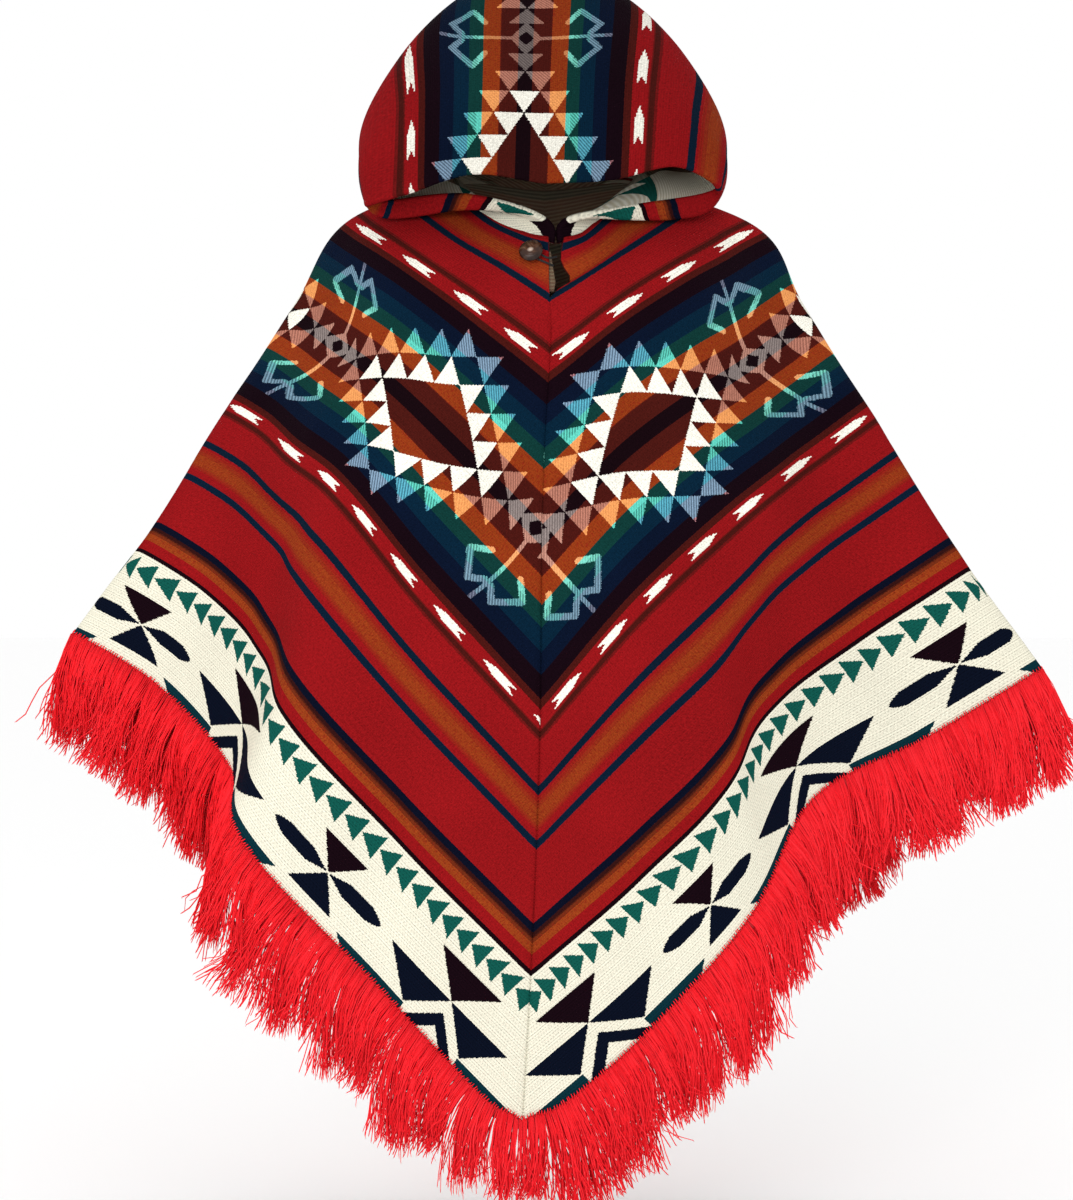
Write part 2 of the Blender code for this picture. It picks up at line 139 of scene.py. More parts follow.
def run_along(points):
    """How far along its line each point is. A grid's lines run from column to column."""
    steps = np.linalg.norm(np.diff(points, axis=0), axis=-1)
    return np.concatenate([np.zeros_like(steps[:1]), np.cumsum(steps, axis=0)])


def read_at(at, run, values):
    """The values of a line, one row for each place in run, read at the places in at."""
    return np.stack([np.interp(at, run, column) for column in values.T], axis=1)


def unit(ways):
    """Vectors at unit length."""
    return ways / np.linalg.norm(ways, axis=-1, keepdims=True)


def smooth_through(knots, values, at):
    """A smooth curve through values, one for each knot along the first axis, read at each of at."""
    knots = np.asarray(knots, float)
    slopes = np.gradient(values, knots, axis=0)
    i = np.clip(np.searchsorted(knots, at, side="right") - 1, 0, len(knots) - 2)
    shape = (-1,) + (1,) * (values.ndim - 1)
    width = (knots[i + 1] - knots[i]).reshape(shape)
    t = ((at - knots[i]) / (knots[i + 1] - knots[i])).reshape(shape)
    rise = t * t * (3 - 2 * t)
    bend = width * (t * (1 - t) ** 2 * slopes[i] - t * t * (1 - t) * slopes[i + 1])
    return (1 - rise) * values[i] + rise * values[i + 1] + bend


def loft(points, faces, levels, columns, rows):
    """A fine grid through a table's points, and where its columns lie among the coarse faces."""
    knots = run_along(points[:, 1:, :3]).mean(axis=1)
    at = np.linspace(0, knots[-1], columns + 1)
    across = smooth_through(knots, points, at)
    down = np.linspace(levels[0], levels[-1], rows + 1)
    grid = smooth_through(levels, across.swapaxes(0, 1), down).swapaxes(0, 1)
    return grid, np.interp(at, knots, np.concatenate([[0], np.cumsum(faces)]))


def directions(grid):
    """Unit vectors along each column of a grid, and square to its surface."""
    down = unit(np.gradient(grid[..., :3], axis=1))
    return down, unit(np.cross(np.gradient(grid[..., :3], axis=0), down))


def with_weave(folds, weave):
    """The fold lines' points in metres, each with its place in the flat cloth. Behind the
    shoulder the places follow the length of the cloth as far as the centre back."""
    points, flat = (np.array(list(rows.values()), float) * MM for rows in (folds, weave))
    run = run_along(points[len(flat) - 2:])
    behind = flat[-2] + (flat[-1] - flat[-2]) * (run / run[-1])[:, :, None]
    return np.concatenate([points, np.concatenate([flat[:-2], behind])], axis=2)


def half_grid(folds, weave, side):
    """One half of the poncho: side is -1 on the left and 1 on the right."""
    points = with_weave(folds, weave)
    grid, place = loft(points, HALF_FACES, LEVELS, HALF_COLUMNS, HALF_ROWS)
    hem = run_along(grid[:, -1, :3])
    pull = TIP_ROUND * np.exp(-((np.minimum(hem, hem[-1] - hem) / TIP_REACH) ** 2))
    near_hem = np.linspace(0, 1, HALF_ROWS + 1) ** 4
    way = np.gradient(grid, axis=1)
    way /= np.linalg.norm(way[..., :3], axis=2, keepdims=True)
    grid -= way * (pull[:, None] * near_hem)[:, :, None]
    knots, leans = np.array(SEAM_LEANS, float).T
    leans = smooth_through(knots, leans * MM, ROW_LEVELS)
    grid[..., 0] += leans * np.exp(-((run_along(grid[..., :3]) / SEAM_REACH) ** 2))
    grid[[0, -1], :, 0] += side * SEAM_GAP
    return grid, place


left_grid, _ = half_grid(LEFT_FOLDS, LEFT_WEAVE, -1)
right_grid, place = half_grid(RIGHT_FOLDS, RIGHT_WEAVE, 1)
gapes = np.interp(ROW_LEVELS, *zip(*SLIT_GAPES)) * MM
stands_back = np.clip(1 - place / SLIT_FACES, 0, 1)[:, None] * gapes
right_grid[..., :3] += stands_back[:, :, None] * np.array([1, 0.2, 0])


# Soft creases, as lines on the flat cloth: from and to in mm, half width, and how far it stands.
LEFT_CREASES = (
    ((92, 110), (40, 330), 22, 3.0), ((20, 250), (-70, 470), 26, -3.5),
    ((-30, 330), (-120, 500), 18, 2.6), ((150, 150), (96, 420), 24, 3.4),
    ((120, 300), (20, 540), 22, -3.4), ((-180, 380), (-262, 520), 26, 2.4),
    ((-250, 400), (-330, 540), 30, -2.4), ((300, 60), (240, 260), 26, 3.0),
    ((380, 160), (330, 420), 28, -3.6), ((450, 300), (470, 540), 30, 3.6),
    ((560, 340), (600, 540), 30, -3.0), ((330, 330), (300, 540), 26, 3.0),
)
RIGHT_CREASES = (
    ((88, 100), (20, 300), 22, 2.8), ((60, 260), (-40, 480), 24, -3.2),
    ((-60, 330), (-150, 500), 20, 2.6), ((150, 170), (90, 430), 24, 3.2),
    ((110, 330), (40, 540), 22, -3.0), ((-160, 360), (-230, 520), 24, 2.6),
    ((-260, 400), (-340, 540), 30, -2.2), ((290, 70), (250, 270), 26, 2.8),
    ((390, 170), (350, 420), 28, -3.4), ((470, 300), (480, 540), 30, 3.4),
    ((590, 340), (620, 540), 30, -3.0), ((340, 340), (320, 540), 26, 3.0),
)


def creased(grid, creases, outward):
    """The grid with each crease raised or sunk along its surface's outward direction."""
    flat = grid[..., 3:] / MM
    lift = np.zeros(grid.shape[:2])
    for start, end, width, height in creases:
        line = np.subtract(end, start)
        along = np.clip(((flat - start) @ line) / (line @ line), 0, 1)
        away = np.linalg.norm(flat - start - along[..., None] * line, axis=2)
        lift += height * np.exp(-((away / width) ** 2)) * np.sin(np.pi * (0.15 + 0.7 * along))
    grid[..., :3] += outward * directions(grid)[1] * (lift * MM)[..., None]


SEAM_DIP = 1.6 * MM
DIP_REACH = 3.2 * MM
DIP_COLUMNS = 40
DIP_FADE = 20  # mm below the slit over which the groove deepens


def seam_dipped(grid, outward):
    """Both sewn edges turned in a little, below the slit, so that the seam lies in a groove."""
    normal = outward * directions(grid)[1]
    below = np.clip((ROW_LEVELS - SLIT_LENGTH) / DIP_FADE, 0, 1)
    for cloth, side in ((grid, normal), (grid[::-1], normal[::-1])):
        edge = cloth[:DIP_COLUMNS, :, :3]
        away = np.linalg.norm(edge - edge[0], axis=2)
        dip = SEAM_DIP * np.exp(-((away / DIP_REACH) ** 2)) * below
        edge -= side[:DIP_COLUMNS] * dip[:, :, None]


for grid, creases, outward in ((left_grid, LEFT_CREASES, 1), (right_grid, RIGHT_CREASES, -1)):
    creased(grid, creases, outward)
    seam_dipped(grid, outward)


CARD_WHITE = 0.86  # how much light the colour card's white sends back


def dyed(*card):
    """A dyed yarn's colour, from its red, green and blue on a colour card (0 to 255)."""
    card = [value / 255 for value in card]
    light = [c / 12.92 if c <= 0.04045 else ((c + 0.055) / 1.055) ** 2.4 for c in card]
    return tuple(CARD_WHITE * value for value in light)


def sum_of(operation):
    """A method that works a number out from others, for the class below."""
    return lambda number, *others: number.worked(operation, *others)


class Number:
    """A number in a node tree; sums and comparisons of it add the nodes that work them out."""

    def __init__(self, tree, socket):
        self.tree = tree
        self.socket = socket

    def worked(self, operation, *others):
        node = self.tree.nodes.new("ShaderNodeMath")
        node.operation = operation
        for slot, value in zip(node.inputs, (self, *others)):
            feed(self.tree, slot, value)
        return Number(self.tree, node.outputs[0])

    __add__ = __radd__ = sum_of("ADD")
    __sub__ = sum_of("SUBTRACT")
    __mul__ = __rmul__ = sum_of("MULTIPLY")
    __truediv__ = sum_of("DIVIDE")
    __lt__ = sum_of("LESS_THAN")
    __gt__ = sum_of("GREATER_THAN")
    __abs__ = sum_of("ABSOLUTE")
    least = sum_of("MINIMUM")
    most = sum_of("MAXIMUM")
    whole = sum_of("FLOOR")
    root = sum_of("SQRT")

    def __rsub__(self, other):
        return self.worked("MULTIPLY_ADD", -1, other)

    def within(self, low, high):
        """The number brought between low and high by whole steps, for a pattern that repeats."""
        return self.worked("WRAP", high, low)

    def between(self, low, high):
        """1 where the number lies between low and high, and 0 elsewhere."""
        return (self > low) * (self < high)

    def wave(self, length):
        """A wave of this length along the number, from -1 to 1."""
        return (self * (math.tau / length)).worked("SINE")

    def held(self):
        """The number kept between 0 and 1."""
        held = self.worked("ADD", 0)
        held.socket.node.use_clamp = True
        return held


def feed(tree, slot, value):
    """Sets a slot to a value, or links it to the socket that works the value out."""
    if isinstance(value, Number):
        value = value.socket
    if isinstance(value, bpy.types.NodeSocket):
        tree.links.new(value, slot)
    else:
        slot.default_value = value


# What a group's sockets carry, by their names. All others carry a number.
SOCKET_KINDS = {"Cloth": "Vector", "Point": "Vector", "From": "Vector", "To": "Vector",
                "Colour": "Color"}


def new_group(name, inputs, outputs):
    """A shader node group: its tree, its inputs by name, and a function that sets an output."""
    tree = bpy.data.node_groups.new(name, "ShaderNodeTree")
    for way, labels in (("INPUT", inputs), ("OUTPUT", outputs)):
        for label in labels:
            kind = "NodeSocket" + SOCKET_KINDS.get(label, "Float")
            tree.interface.new_socket(label, in_out=way, socket_type=kind)
    entry = tree.nodes.new("NodeGroupInput")
    leave = tree.nodes.new("NodeGroupOutput")
    given = {label: Number(tree, entry.outputs[label]) for label in inputs}
    return tree, given, lambda label, value: feed(tree, leave.inputs[label], value)


def use_group(tree, group, **values):
    """A group placed in a tree. Values are given by the inputs' names, with _ for a space."""
    node = tree.nodes.new("ShaderNodeGroup")
    node.node_tree = group
    for label, value in values.items():
        feed(tree, node.inputs[label.replace("_", " ")], value)
    return {socket.name: Number(tree, socket) for socket in node.outputs}


def parted(tree, vector):
    """The three numbers of a vector."""
    node = tree.nodes.new("ShaderNodeSeparateXYZ")
    feed(tree, node.inputs[0], vector)
    return [Number(tree, socket) for socket in node.outputs]


def joined(tree, *numbers):
    """A vector, from up to three numbers."""
    node = tree.nodes.new("ShaderNodeCombineXYZ")
    for slot, number in zip(node.inputs, numbers):
        feed(tree, slot, number)
    return node.outputs[0]


def noise(tree, at, scale, detail, dimensions="2D", distortion=0):
    """A number that varies from place to place, about a middle of 0.5."""
    node = tree.nodes.new("ShaderNodeTexNoise")
    node.noise_dimensions = dimensions
    for label, value in (("Scale", scale), ("Detail", detail), ("Distortion", distortion)):
        node.inputs[label].default_value = value
    feed(tree, node.inputs["Vector"], at)
    return Number(tree, node.outputs[0])


def mixed(tree, share, first, second, blend="MIX"):
    """Two colours mixed: the share is the second one's."""
    node = tree.nodes.new("ShaderNodeMix")
    node.data_type = "RGBA"
    node.blend_type = blend
    feed(tree, node.inputs[0], share)
    for slot, colour in ((node.inputs[6], first), (node.inputs[7], second)):
        feed(tree, slot, (*colour, 1) if isinstance(colour, tuple) else colour)
    return node.outputs[2]


def banded(tree, at, bands, span, blend="CONSTANT"):
    """Colours by bands: each band is where it starts, from 0 to span, and its colour."""
    node = tree.nodes.new("ShaderNodeValToRGB")
    ramp = node.color_ramp
    ramp.interpolation = blend
    feed(tree, node.inputs[0], at / span)
    for k, (start, *colour) in enumerate(bands):
        stop = ramp.elements[k] if k < 2 else ramp.elements.new(start / span)
        stop.position = start / span
        stop.color = (*dyed(*colour), 1)
    return node.outputs[0]


# The chart of the weave, in mm. Stripes mirror about the middle of the diamond band, and the
# motifs repeat every 300 mm along the cloth.
BAND = 190
REPEAT = 300
CHART_WIDTH = 366  # from the middle of the band to past the hem
WHITE_FROM = 266  # from the middle of the band to the pale border
CELL = 1.0  # the size of one woven step
# Where each stripe starts, from the middle of the band, and its colour on the card.
GROUND = (
    (0, 20, 5, 11), (6.8, 72, 21, 16), (23, 142, 56, 20), (38.7, 13, 56, 52), (52, 5, 34, 54),
    (66, 7, 18, 40), (79, 20, 5, 14), (93.6, 72, 20, 16), (99.5, 145, 19, 23),
    (111, 104, 20, 19), (112.4, 72, 20, 16), (116.4, 108, 20, 20), (117.8, 144, 19, 23),
    (144.5, 8, 28, 46), (150.5, 146, 19, 23), (154, 144, 32, 22), (156.5, 142, 44, 22),
    (159, 146, 56, 22), (169, 142, 44, 22), (171.5, 144, 32, 22), (174, 145, 19, 23),
    (179, 7, 28, 48), (185, 144, 19, 23), (233, 8, 13, 32), (238, 50, 17, 16),
    (240.4, 74, 26, 16), (242.6, 108, 42, 19), (244.6, 148, 61, 23), (253, 147, 19, 23),
    (262, 22, 5, 12), (266, 244, 240, 219),
)
# The lighter yarns that lie over them in the triangles, and in the hooked figures.
LIGHTS = (
    (0, 150, 134, 130), (6.8, 198, 132, 112), (23, 248, 166, 98), (38.7, 104, 222, 202),
    (52, 98, 186, 208), (66, 142, 172, 198), (84, 190, 130, 136),
)
FIGURE_LIGHTS = (
    (0, 156, 142, 138), (6.8, 206, 150, 132), (23, 246, 172, 112), (38.7, 128, 222, 202),
    (50, 112, 182, 186), (60, 130, 164, 184), (72, 122, 128, 150),
)
ORANGE_STRIPES = ((23, 38.7), (154, 174), (244, 253))
ORANGE_FLECK = dyed(150, 28, 22)
CREAM = dyed(252, 249, 236)
NEAR_BLACK = dyed(20, 5, 11)
DARK_MAROON = dyed(22, 6, 15)
NAVY = dyed(8, 15, 32)
TEAL = dyed(8, 48, 58)
BORDER_GREEN = dyed(16, 88, 78)


def vector_node(tree, operation, *values, scale=None):
    """What vectors come to: a number for a length or a dot product, and else a vector."""
    node = tree.nodes.new("ShaderNodeVectorMath")
    node.operation = operation
    for slot, value in zip(node.inputs, values):
        feed(tree, slot, value)
    if scale is not None:
        feed(tree, node.inputs["Scale"], scale)
    if operation in ("DOT_PRODUCT", "LENGTH"):
        return Number(tree, node.outputs["Value"])
    return node.outputs["Vector"]


# A worked line of yarn: how far a point is from the straight line between two others.
yarn_line, given, give = new_group("Worked line", ("Point", "From", "To"), ("Distance",))
span = vector_node(yarn_line, "SUBTRACT", given["To"], given["From"])
reach = vector_node(yarn_line, "SUBTRACT", given["Point"], given["From"])
share = vector_node(yarn_line, "DOT_PRODUCT", reach, span)
share = (share / vector_node(yarn_line, "DOT_PRODUCT", span, span)).held()
nearest = vector_node(yarn_line, "SCALE", span, scale=share)
give("Distance", vector_node(
    yarn_line, "LENGTH", vector_node(yarn_line, "SUBTRACT", reach, nearest)))

# The diamond band: cream and light triangles round a plain lozenge, and hooked figures between.
STEP_ALONG = 22.1  # one triangle's length and width
STEP_ACROSS = 14.5
HOOK = ((4, 60), (14.5, 69), (34, 50), (19, 38.5))  # its corners, from the figure's middle
HOOK_HALF_WIDTH = 2.9
diamonds, given, give = new_group(
    "Diamond band", ("Along", "Off middle"), ("Cream", "Light", "Figure", "Dark"))
far = abs(given["Along"].within(-REPEAT / 2, REPEAT / 2))
off = given["Off middle"]
column = (far / STEP_ALONG).whole()
into = far / STEP_ALONG - column
row = off / STEP_ACROSS + column
lattice = far < 5 * STEP_ALONG
give("Cream", (abs(row - 3) < into) * lattice)
give("Light", (abs(row - 5) < into) * lattice)
aside = REPEAT / 2 - far
arms = ((39.5 - aside) * 0.82 > off) * (aside > 19)
knot = (aside / 21 + off / 15) < 1
core = (aside / 8.8 + off / 7.8) < 1
stem = (aside < 2.4) * off.between(13, 62)
spur = (aside < 2) * off.between(58, 80)
figure = arms.most(knot).most(stem).most(spur)
point = joined(diamonds, aside, off)
for start, end in zip(HOOK[:-1], HOOK[1:]):
    away = use_group(diamonds, yarn_line, Point=point, From=(*start, 0), To=(*end, 0))["Distance"]
    figure = figure.most(away < HOOK_HALF_WIDTH)
give("Figure", figure * (1 - core) * (1 - lattice).most(off > 20))
give("Dark", core)

# A row of arrows that point away from the seam, with forked tails.
ARROWS_OFF = 106.2  # from the middle of the diamond band
ARROW_REPEAT = 60
ARROW_LENGTH = 38
ARROW_HALF_WIDTH = 3.4
arrow_row, given, give = new_group("Arrow row", ("Along", "Off line"), ("Arrow",))
run = given["Along"].within(0, ARROW_REPEAT)
off = given["Off line"]
half = ((ARROW_LENGTH - run) * 0.25).least(ARROW_HALF_WIDTH)
give("Arrow", (off < half) * (off > (8.5 - run) * 0.4))

# The pale border: a row of green triangles, then two large motifs in turn along the hem: a
# leafy one with four petals, and a peaked one with sails and a chevron.
TEETH_MIDDLE = 16.75  # how far below the start of the border, as are the next two
TEETH_END = 32
MOTIF_MIDDLE = 65
PALE_ABOVE = 74  # how far above the border the reverse is pale
borders, given, give = new_group(
    "Border motifs", ("Toothed", "Along", "Below white", "Petals"),
    ("Green", "Maroon", "Navy", "Teal"))
run = given["Toothed"].within(0, REPEAT / 16)
below = given["Below white"]
give("Green", abs(below - TEETH_MIDDLE) < (17.6 - run) * 0.7)
leafy = abs(given["Along"].within(-REPEAT / 2, REPEAT / 2))
peaked = REPEAT / 2 - leafy
lower = below - MOTIF_MIDDLE
above = MOTIF_MIDDLE - below
upper_leafy = (leafy < above * 0.8) * (above < 28)
upper_peaked = (peaked < above * 1.26) * (above < 31)
give("Maroon", upper_leafy.most(upper_peaked))
petal_half = ((leafy - 1) * 0.38).least(7.2).least(((57 - leafy) * 3.4).root())
petal = (abs(lower) < petal_half) * given["Petals"]
foot = (leafy < lower * 0.8) * (lower < 28)
sails = peaked.between(lower * 1.27, 79 - lower * 1.25) * lower.between(0, 31.5)
chevron = (lower * 1.27 - peaked).between(15.8, 32.8)
give("Navy", petal.most(foot).most(sails).most(chevron))
give("Teal", peaked.between(38, 118 - (below - 97) * 1.25) * (below > 97))

# The whole blanket: stripes, band, arrow rows and border over one another, in woven steps.
blanket, given, give = new_group(
    "Poncho blanket",
    ("Cloth", "Diamonds from", "Upper arrows from", "Lower arrows from", "Teeth from",
     "Leaves from", "Arrows turn at", "Depth", "Figure strength"),
    ("Colour", "Height"))
PETALS_FROM = -500  # nearer the front tip, the mitre would leave no more than specks of them
along, across = (number * 1000 for number in parted(blanket, given["Cloth"])[:2])
slub = noise(blanket, given["Cloth"], 700, 1) - 0.5
cell_along = ((along + slub * 1.2) / CELL).whole() * CELL + CELL / 2
cell_across = ((across + slub) / CELL).whole() * CELL + CELL / 2
off = abs(cell_across - BAND)
turned = given["Arrows turn at"] - abs(cell_along - given["Arrows turn at"])
ground, lights, figure_lights = (
    banded(blanket, off, bands, CHART_WIDTH) for bands in (GROUND, LIGHTS, FIGURE_LIGHTS))
band = use_group(blanket, diamonds, Along=cell_along - given["Diamonds from"], Off_middle=off)
upper, lower = given["Upper arrows from"], given["Lower arrows from"]
arrows_from = upper + (cell_across > BAND) * (lower - upper)
arrows = use_group(
    blanket, arrow_row, Along=turned - arrows_from, Off_line=abs(off - ARROWS_OFF))
border = use_group(
    blanket, borders, Toothed=turned - given["Teeth from"],
    Along=cell_along - given["Leaves from"], Below_white=off - WHITE_FROM,
    Petals=cell_along > PETALS_FROM)

# The yarns vary: streaks along the stripes, broad uneven patches, and flecks in the orange.
streak = noise(blanket, joined(blanket, along * 0.8, across * 0.3), 1, 2)
uneven = noise(blanket, given["Cloth"], 14, 3)
orange = 0
for stripe in ORANGE_STRIPES:
    orange = off.between(*stripe) + orange
ground = mixed(blanket, orange * ((0.5 - streak) * 5).held() * 0.55, ground, ORANGE_FLECK)

# Twill hatching: the light yarns cross the ground's, so some ground shows between them.
TWILL = 0.54  # mm for each radian of the hatching's wave
cover = 0.24 + (off > 45) * 0.5 + (off < 23) * 0.3
hatch = (((along + across) / TWILL).worked("SINE") * 0.5 + 0.5 + slub * 0.9).held() * cover
# A figure strength below 1 fades the hooked figures in the band: partly painted shade, partly wear.
# The hood has 0.6.
strength = given["Figure strength"].most(off > 40)
in_border = off > WHITE_FROM
cream = band["Cream"].most(arrows["Arrow"])
colour = mixed(blanket, band["Dark"], ground, NEAR_BLACK)
colour = mixed(blanket, band["Light"], colour, mixed(blanket, hatch, lights, ground))
figure = mixed(blanket, hatch, figure_lights, ground)
colour = mixed(blanket, band["Figure"] * strength, colour, figure)
colour = mixed(blanket, cream, colour, CREAM)
motif = ground
for label, dye in (
        ("Green", BORDER_GREEN), ("Maroon", DARK_MAROON), ("Navy", NAVY), ("Teal", TEAL)):
    motif = mixed(blanket, border[label], motif, dye)
colour = mixed(blanket, in_border, colour, motif)

# Yarn: ribs run along the stripes. Every few ribs there is a fine dotted line, and on the pale
# border a closer one.
RIB = 2.0  # mm from one to the next, as for the threads and both kinds of dotted line
THREAD = 1.1
DOTS_EVERY = 4.6
CLOSE_EVERY = 2.7
ribs = across.wave(RIB)
threads = along.wave(THREAD)
line_at = across / DOTS_EVERY
dots = (line_at.within(0, 1) < 0.16) * (
    (along / 3.2 + line_at.whole() * 0.37).within(0, 1) < 0.45)
line_at = across / CLOSE_EVERY
close = (line_at.within(0, 1) < 0.3) * in_border
dashes = close * ((along / 3.3 + line_at.whole() * 0.5 + slub * 0.5).within(0, 1) < 0.5)
lift = (streak - 0.5) * 0.6 + (uneven - 0.5) * 0.3 + slub * 0.6
shade = 1 + lift * (1 - in_border * 0.6) + ribs * (in_border * 0.05 + 0.035)
# The last factor darkens the whole cloth evenly, as painted shade: 1 on the halves, less on the
# hood.
shade = (shade - dots * 0.1 - close * 0.05 - dashes * 0.26) * given["Depth"]
give("Colour", mixed(blanket, 1.0, colour, joined(blanket, shade, shade, shade), "MULTIPLY"))
give("Height", ribs * 0.5 + threads * 0.25 + slub * 1.3 - dots * 0.5 - close * 0.3)


def cloth_coordinates(tree):
    """Where a point lies on the flat cloth, or along its yarn, in metres."""
    node = tree.nodes.new("ShaderNodeUVMap")
    node.uv_map = "Cloth"
    return node.outputs[0]


def new_material(name, roughness, specular, colour=None):
    """A material, its node tree and its shader."""
    made = bpy.data.materials.new(name)
    made.use_nodes = True
    principled = made.node_tree.nodes["Principled BSDF"]
    principled.inputs["Roughness"].default_value = roughness
    principled.inputs["Specular IOR Level"].default_value = specular
    if colour is not None:
        coloured(principled, (*colour, 1))
    return made, made.node_tree, principled


def coloured(principled, colour):
    """A material given its base colour."""
    feed(principled.id_data, principled.inputs["Base Color"], colour)


def bumped(principled, height, strength, depth):
    """A material given a relief, depth high where height is 1."""
    tree = principled.id_data
    node = tree.nodes.new("ShaderNodeBump")
    for label, value in (("Strength", strength), ("Distance", depth), ("Height", height)):
        feed(tree, node.inputs[label], value)
    feed(tree, principled.inputs["Normal"], node.outputs[0])


def blanket_face(name, **starts):
    """The face of the cloth. The starts say where each row of motifs begins along it."""
    made, tree, principled = new_material(name, 0.88, 0.03)
    woven = use_group(tree, blanket, Cloth=cloth_coordinates(tree), **starts)
    coloured(principled, woven["Colour"])
    bumped(principled, woven["Height"], 0.5, 0.5 * MM)
    return made


def blanket_reverse(name, teeth_from, teeth_long, shaded_from):
    """The back of the cloth: drab ribs along the stripes, and pale ones behind the border and the
    red beside it, as far along the cloth as the last argument gives, in mm; further along, those
    are painted drab too, as painted shade. The teeth are teeth_long times as long as on the face."""
    made, tree, principled = new_material(name, 0.92, 0.1)
    along, across = (number * 1000 for number in parted(tree, cloth_coordinates(tree))[:2])
    off = abs(across - BAND)
    border = use_group(
        tree, borders, Toothed=(along - teeth_from) / teeth_long, Below_white=off - WHITE_FROM)
    ribs = (across.wave(2.4) * 0.5 + 0.5) * (along.wave(1.7) * 0.2 + 0.8)
    stripes = mixed(tree, 0.8, banded(tree, off, GROUND, CHART_WIDTH), dyed(92, 86, 70))
    drab = mixed(tree, ribs * 0.45, stripes, dyed(160, 150, 122))
    pale = mixed(tree, ribs, dyed(214, 206, 180), dyed(255, 252, 238))
    green = off.between(WHITE_FROM, WHITE_FROM + TEETH_END) * (1 - border["Green"])
    pale = mixed(tree, green, pale, BORDER_GREEN)
    # Past the given reach along the cloth the pale reverse is painted drab: painted shade deep
    # inside the hood.
    is_pale = (off > WHITE_FROM - PALE_ABOVE) * (along < shaded_from)
    coloured(principled, mixed(tree, is_pale, drab, pale))
    bumped(principled, ribs, 0.7, 0.7 * MM)
    return made


def placed(name, data):
    """An object of this mesh, light or camera, put in the scene."""
    made = bpy.data.objects.new(name, data)
    bpy.context.scene.collection.objects.link(made)
    return made


def cloth_shell(name, grid, faces_out, materials):
    """A thin piece of cloth on a grid, with its face, its back and its cut edge."""
    columns, rows = grid.shape[:2]
    sheet = bmesh.new()
    flat = sheet.loops.layers.uv.new("Cloth")
    verts = [[sheet.verts.new(point[:3]) for point in column] for column in grid]
    for c in range(columns - 1):
        for r in range(rows - 1):
            corners = ((c, r), (c + 1, r), (c + 1, r + 1), (c, r + 1))
            if not faces_out:
                corners = corners[::-1]
            face = sheet.faces.new([verts[i][j] for i, j in corners])
            face.smooth = True
            for loop, (i, j) in zip(face.loops, corners):
                loop[flat].uv = grid[i, j, 3:]
    bmesh.ops.remove_doubles(sheet, verts=sheet.verts, dist=0.01 * MM)
    mesh = bpy.data.meshes.new(name)
    sheet.to_mesh(mesh)
    sheet.free()
    for look in materials:
        mesh.materials.append(look)
    piece = placed(name, mesh)
    wall = piece.modifiers.new("Cloth thickness", "SOLIDIFY")
    wall.thickness = CLOTH
    wall.offset = 0
    wall.material_offset = 1
    wall.material_offset_rim = 2
    return piece


reverse = blanket_reverse("Blanket cloth, reverse", 4, 1, 2000)
cut_edge, _, _ = new_material("Bound cut edge", 0.9, 0.08, dyed(92, 16, 18))
left_look = blanket_face(
    "Blanket cloth, left half", Diamonds_from=-31, Upper_arrows_from=-72, Lower_arrows_from=-266,
    Teeth_from=-473, Leaves_from=-268, Arrows_turn_at=202, Depth=1, Figure_strength=1)
right_look = blanket_face(
    "Blanket cloth, right half", Diamonds_from=-48.6, Upper_arrows_from=-70,
    Lower_arrows_from=-280, Teeth_from=-455.6, Leaves_from=-292, Arrows_turn_at=200.65,
    Depth=1, Figure_strength=1)
left_cloth = cloth_shell("left_cloth", left_grid, True, (left_look, reverse, cut_edge))
right_cloth = cloth_shell("right_cloth", right_grid, False, (right_look, reverse, cut_edge))

# A narrow facing is sewn behind the left edge of the slit, reverse side out, and shows in it.
FACING_LEVELS = np.linspace(9, 36, 10)  # mm below the neck
FACING_SHOWS = ((9, 1.5), (20, 3.5), (30, 5.5), (36, 4))  # how far it reaches into the slit
FACING_TURNED = -5 * MM
FACING_BEHIND = 3 * MM
edge = read_at(FACING_LEVELS, ROW_LEVELS, left_grid[0])
facing_grid = np.stack([edge, edge, edge])
shown = np.interp(FACING_LEVELS, *zip(*FACING_SHOWS)) * MM
for row, reach in zip(facing_grid, (FACING_TURNED, 0, shown)):
    row[:, 0] += reach
    row[:, 1] += FACING_BEHIND
    row[:, 3] += reach
facing = cloth_shell("slit_facing", facing_grid, True, (reverse, reverse, reverse))
facing.modifiers[0].thickness = 1.2 * MM
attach(facing, "root")
for piece, node in ((left_cloth, "left_half"), (right_cloth, "right_half")):
    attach(piece, "root")
    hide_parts(node)

# ---------------------------------------------------------------- the hood
# One rectangle of the same blanket cloth. Its long edge is the front edge, the opposite edge is
# folded in half and sewn up as the back seam, and both short ends are sewn to the neckline.

HOOD_COLUMNS = 84  # on each side
HOOD_ROWS = 88
HOOD_CENTRE = -2 * MM
NECK_SEAM = 4 * MM  # how far the hood reaches down inside the neckline
COLLAR_RISE = 13 * MM
